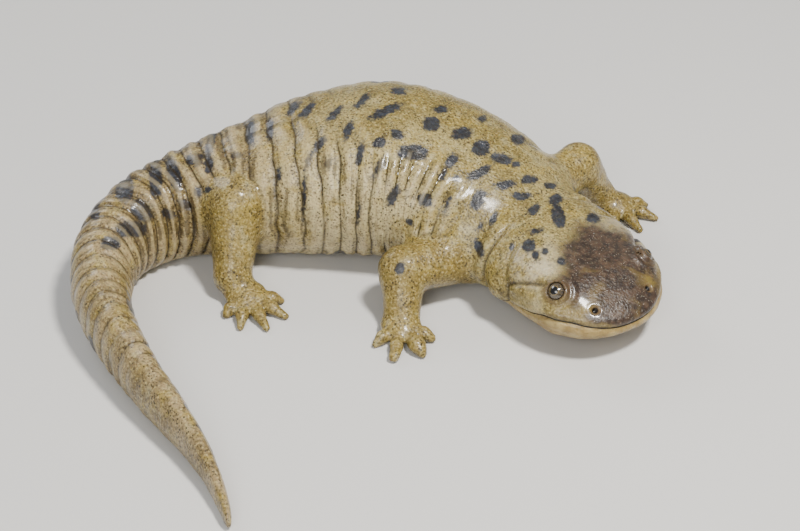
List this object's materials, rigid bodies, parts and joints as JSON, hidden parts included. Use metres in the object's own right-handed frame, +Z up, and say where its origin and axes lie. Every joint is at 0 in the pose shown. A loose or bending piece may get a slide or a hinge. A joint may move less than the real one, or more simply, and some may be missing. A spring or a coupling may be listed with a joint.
{
  "type": "tiger salamander model",
  "caption": "Life-size still model of a stout spotted tiger salamander, lying with its head turned to one side and its tail curled forward.",
  "frame": {"origin": "on the floor under the middle of the animal's box, seen from above", "axes": "+Z up from the floor, +X towards the end where the head lies, +Y towards the convex side of the back"},
  "size_m": [0.106, 0.1086, 0.0275],
  "materials": {
    "skin": "damp olive-brown skin with slate-blue spots",
    "throat": "damp pale tan skin",
    "eye": "wet dark eye with gold flecks"
  },
  "bodies": {
    "root": {"head": "skin", "lower_jaw": "throat", "eye_left": "eye", "eye_right": "eye", "neck": "skin", "torso_front": "skin", "torso_middle": "skin", "torso_rear": "skin", "tail_base": "skin", "tail_middle": "skin", "tail_tip": "skin", "upper_arm_left": "skin", "forearm_left": "skin", "hand_left": "skin", "upper_arm_right": "skin", "forearm_right": "skin", "hand_right": "skin", "thigh_left": "skin", "shin_left": "skin", "foot_left": "skin", "thigh_right": "skin", "shin_right": "skin", "foot_right": "skin"}
  },
  "joints": []
}
